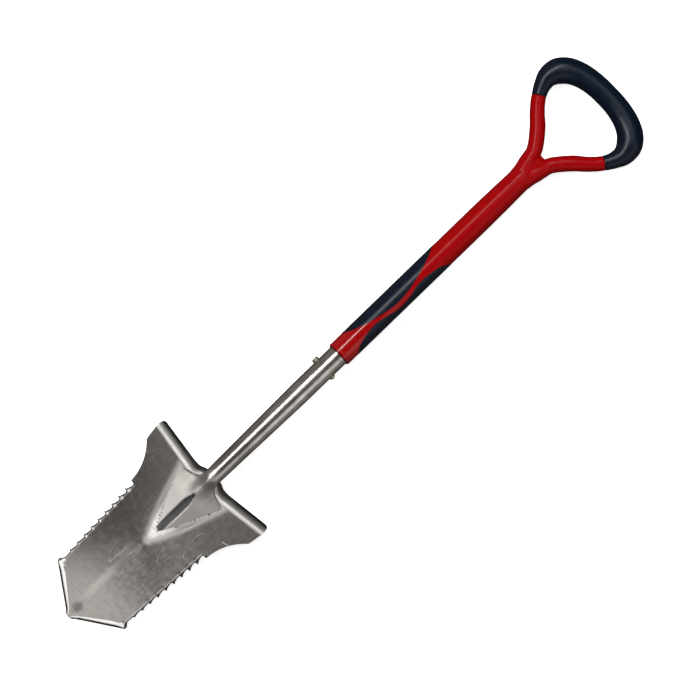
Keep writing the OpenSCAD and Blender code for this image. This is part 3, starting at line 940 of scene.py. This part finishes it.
def moulded(name, base, worn, rough, grain_mm, grain_depth_mm, wave_mm, gloss):
    """A moulded surface: scuffs in its colour and shine, fine grain, and slow waves wave_mm deep."""
    material, tree, shader = new_material(name)
    place = add_node(tree, "ShaderNodeTexCoord")
    at = {"Vector": (place, "Object")}
    scuffs = add_node(tree, "ShaderNodeTexNoise",
                      {"Scale": 1 / (SCUFF_MM * MM), "Detail": 5.0, "Roughness": 0.7}, at)
    colour = add_node(tree, "ShaderNodeValToRGB", links={"Fac": (scuffs, "Fac")})
    colour.color_ramp.elements[0].position = 0.35
    colour.color_ramp.elements[0].color = linear(base)
    colour.color_ramp.elements[1].position = 0.8
    colour.color_ramp.elements[1].color = linear(worn)
    shine = add_node(tree, "ShaderNodeMapRange", {"From Min": 0.3, "From Max": 0.75, "To Min": rough - 0.05,
                                                  "To Max": rough + 0.1}, {"Value": (scuffs, "Fac")})
    grain = add_node(tree, "ShaderNodeTexNoise", {"Scale": 1 / (grain_mm * MM), "Detail": 2.0}, at)
    wave = add_node(tree, "ShaderNodeTexNoise", {"Scale": 1 / (WAVE_LENGTH_MM * MM), "Detail": 1.0}, at)
    waved = add_node(tree, "ShaderNodeBump", {"Strength": 1.0, "Distance": wave_mm * MM},
                     {"Height": (wave, "Fac")})
    bump = add_node(tree, "ShaderNodeBump", {"Strength": 1.0, "Distance": grain_depth_mm * MM},
                    {"Height": (grain, "Fac"), "Normal": (waved, "Normal")})
    tree.links.new(colour.outputs["Color"], shader.inputs["Base Color"])
    tree.links.new(shine.outputs["Result"], shader.inputs["Roughness"])
    tree.links.new(bump.outputs["Normal"], shader.inputs["Normal"])
    shader.inputs["Specular IOR Level"].default_value = gloss
    return material, tree, shader, place, colour, shine


# %% Red polypropylene
red_plastic, tree, shader, place, clean, polish = moulded(
    "moulded red polypropylene", "#920407", "#9E070A", 0.15, 1.2, 0.003, 0.02, 0.22)
position = add_node(tree, "ShaderNodeSeparateXYZ", links={"Vector": (place, "Object")})
gripped = remap(tree, position, "Y", TIP_Y + 0.450, TIP_Y + 0.560, 0.0, 0.07)
dulled = add_node(tree, "ShaderNodeMath", {"operation": "ADD"},
                  {0: (gripped, "Result"), 1: (polish, "Result")})
tree.links.new(dulled.outputs["Value"], shader.inputs["Roughness"])
sheen = remap(tree, position, "Y", TIP_Y + 0.430, TIP_Y + 0.540, 0.36, 0.07)
tree.links.new(sheen.outputs["Result"], shader.inputs["Specular IOR Level"])
# Painted shade: the red turns nearly black over the last two millimetres before the mouth.
mouth_shade = remap(tree, position, "Y", TIP_Y + 0.4135, TIP_Y + 0.4115, 0.0, 0.85)
recolour(tree, shader, blend(tree, (mouth_shade, "Result"), (clean, "Color"), "#1C0203"))
wear(handle, red_plastic)
print(red_plastic.name, "has", len(tree.nodes), "nodes")

# %% Blue rubber and the plug
blue_rubber = moulded("moulded blue rubber", "#07111E", "#0B1727", 0.3, 0.8, 0.012, 0.02, 0.22)[0]
plug_plastic = moulded("black moulded plug", "#1A1A1A", "#262626", 0.5, 0.8, 0.02, 0.05, 0.4)[0]
wear(grip, blue_rubber)
wear(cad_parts["shaft_inlay_left"], blue_rubber)
wear(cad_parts["shaft_inlay_right"], blue_rubber)
wear(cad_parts["core_plug"], plug_plastic)
for name in ("shaft_inlay_left", "shaft_inlay_right", "cross_bolt", "bolt_nut", "core_tube", "core_plug"):
    print(name, "keeps its CAD shape and wears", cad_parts[name].data.materials[0].name)

# %% [markdown]
# ## Floor
# The floor is white paper, lit from below so that it stays evenly white, and it passes through
# the lowest point of the shovel. It's left out of reflections and of the light on the shovel,
# because polished steel would otherwise mirror it and lose its dark lines.

# %% Floor
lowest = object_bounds()[0][2]
deselect_all()
bpy.ops.mesh.primitive_plane_add(size=12, location=(0, 0, lowest))
floor = bpy.context.object
floor.name = "floor"
floor_paint, tree, shader = new_material("white studio paper")
place = add_node(tree, "ShaderNodeTexCoord")
fibre = add_node(tree, "ShaderNodeTexNoise", {"Scale": 200.0, "Detail": 2.0}, {"Vector": (place, "Object")})
colour = add_node(tree, "ShaderNodeValToRGB", links={"Fac": (fibre, "Fac")})
colour.color_ramp.elements[0].color = linear("#F6F6F6")
colour.color_ramp.elements[1].color = linear("#FFFFFF")
tree.links.new(colour.outputs["Color"], shader.inputs["Base Color"])
shader.inputs["Roughness"].default_value = 0.9
shader.inputs["Emission Color"].default_value = linear("#FFFFFF")
shader.inputs["Emission Strength"].default_value = 0.75
wear(floor, floor_paint)
floor.visible_glossy = False
floor.visible_diffuse = False
print("the floor lies at", round(lowest / MM, 1), "mm")

# %% [markdown]
# ## Lights
# Polished metal shows the room more than its own colour, so the room is dark overhead, a little
# paler towards its sides, and holds a few soft strip lights. The narrow bright one on the left
# draws the streak along the tube and the red shaft, the wide dim one fills the right, and the one
# behind lights the treads. A small cool lamp over the grip picks out its round top.

# %% Lights
LAMP_DISTANCE = 3.0


def soft_strip(name, tilt, spread, length, radiance, towards="X"):
    """A strip light, tilt degrees from straight up towards +X or +Y and spread degrees wide."""
    turn = Matrix.Rotation(math.radians(90 if towards == "Y" else 0), 4, "Z")
    turn = turn @ Matrix.Rotation(math.radians(tilt), 4, "Y")
    deselect_all()
    bpy.ops.object.light_add(type="AREA")
    light = bpy.context.object
    light.matrix_world = turn @ Matrix.Translation((0, 0, LAMP_DISTANCE))
    light.name = name
    light.data.shape = "RECTANGLE"
    light.data.size = 2 * LAMP_DISTANCE * math.tan(math.radians(spread / 2))
    light.data.size_y = length
    light.data.energy = radiance * math.pi * light.data.size * light.data.size_y


# %% Strips, grip lamp and room
GRIP_LAMP_RADIANCE, GRIP_LAMP_WIDE, GRIP_LAMP_LONG = 8, 0.14, 0.06
soft_strip("left_strip", -27, 8.5, 4.0, 19.0)
soft_strip("right_strip", 50, 36, 4.0, 0.85)
soft_strip("back_strip", 30, 14, 3.0, 1.8, towards="Y")
deselect_all()
bpy.ops.object.light_add(type="AREA", location=(0, 0.44, 0.8))
grip_light = bpy.context.object
grip_light.name = "grip_light"
grip_light.data.shape = "RECTANGLE"
grip_light.data.size, grip_light.data.size_y = GRIP_LAMP_WIDE, GRIP_LAMP_LONG
grip_light.data.energy = GRIP_LAMP_RADIANCE * math.pi * GRIP_LAMP_WIDE * GRIP_LAMP_LONG
grip_light.data.color = (0.72, 0.86, 1.0)
world = bpy.data.worlds.new("studio")
bpy.context.scene.world = world
world.use_nodes = True
room = world.node_tree
background = room.nodes["Background"]
background.inputs["Color"].default_value = linear("#FFF8EF")
direction = add_node(room, "ShaderNodeTexCoord")
sides = add_node(room, "ShaderNodeSeparateXYZ", links={"Vector": (direction, "Generated")})
sideways = add_node(room, "ShaderNodeMath", {"operation": "ABSOLUTE"}, {0: (sides, "X")})
wall = remap(room, sideways, "Value", 0.72, 0.97, 0.05, 0.25)
room.links.new(wall.outputs["Result"], background.inputs["Strength"])

# %% [markdown]
# ## Camera
# The camera looks almost straight down, from a little towards the blade, and is rolled so that
# the shaft rises to the right. It stands four metres away with a long lens, so the shovel's far
# parts look hardly smaller than its near ones.

# %% Camera
RUN = math.radians(44.07)
PITCH = math.radians(5.4)
WIDE_MM = 770  # width of the view at the shovel
DISTANCE = 4.0
SENSOR = 36
target = Vector((0.0049, TIP_Y + 0.4248, 0.018))
ahead = Vector((0, math.sin(PITCH), -math.cos(PITCH)))
rise = Vector((0, math.cos(PITCH), math.sin(PITCH)))
width_axis = Vector((1, 0, 0))
right = math.sin(RUN) * width_axis + math.cos(RUN) * rise
up = -math.cos(RUN) * width_axis + math.sin(RUN) * rise
facing = Matrix((right, up, -ahead)).transposed().to_4x4()
bpy.ops.object.camera_add(location=target - ahead * DISTANCE)
camera = bpy.context.object
camera.matrix_world = Matrix.Translation(target - ahead * DISTANCE) @ facing
camera.data.sensor_width = SENSOR
camera.data.lens = SENSOR * DISTANCE / (WIDE_MM * MM)
print("a", round(camera.data.lens), "mm lens,", DISTANCE, "m away")
bpy.context.scene.camera = camera
bpy.context.scene.view_settings.view_transform = "Standard"
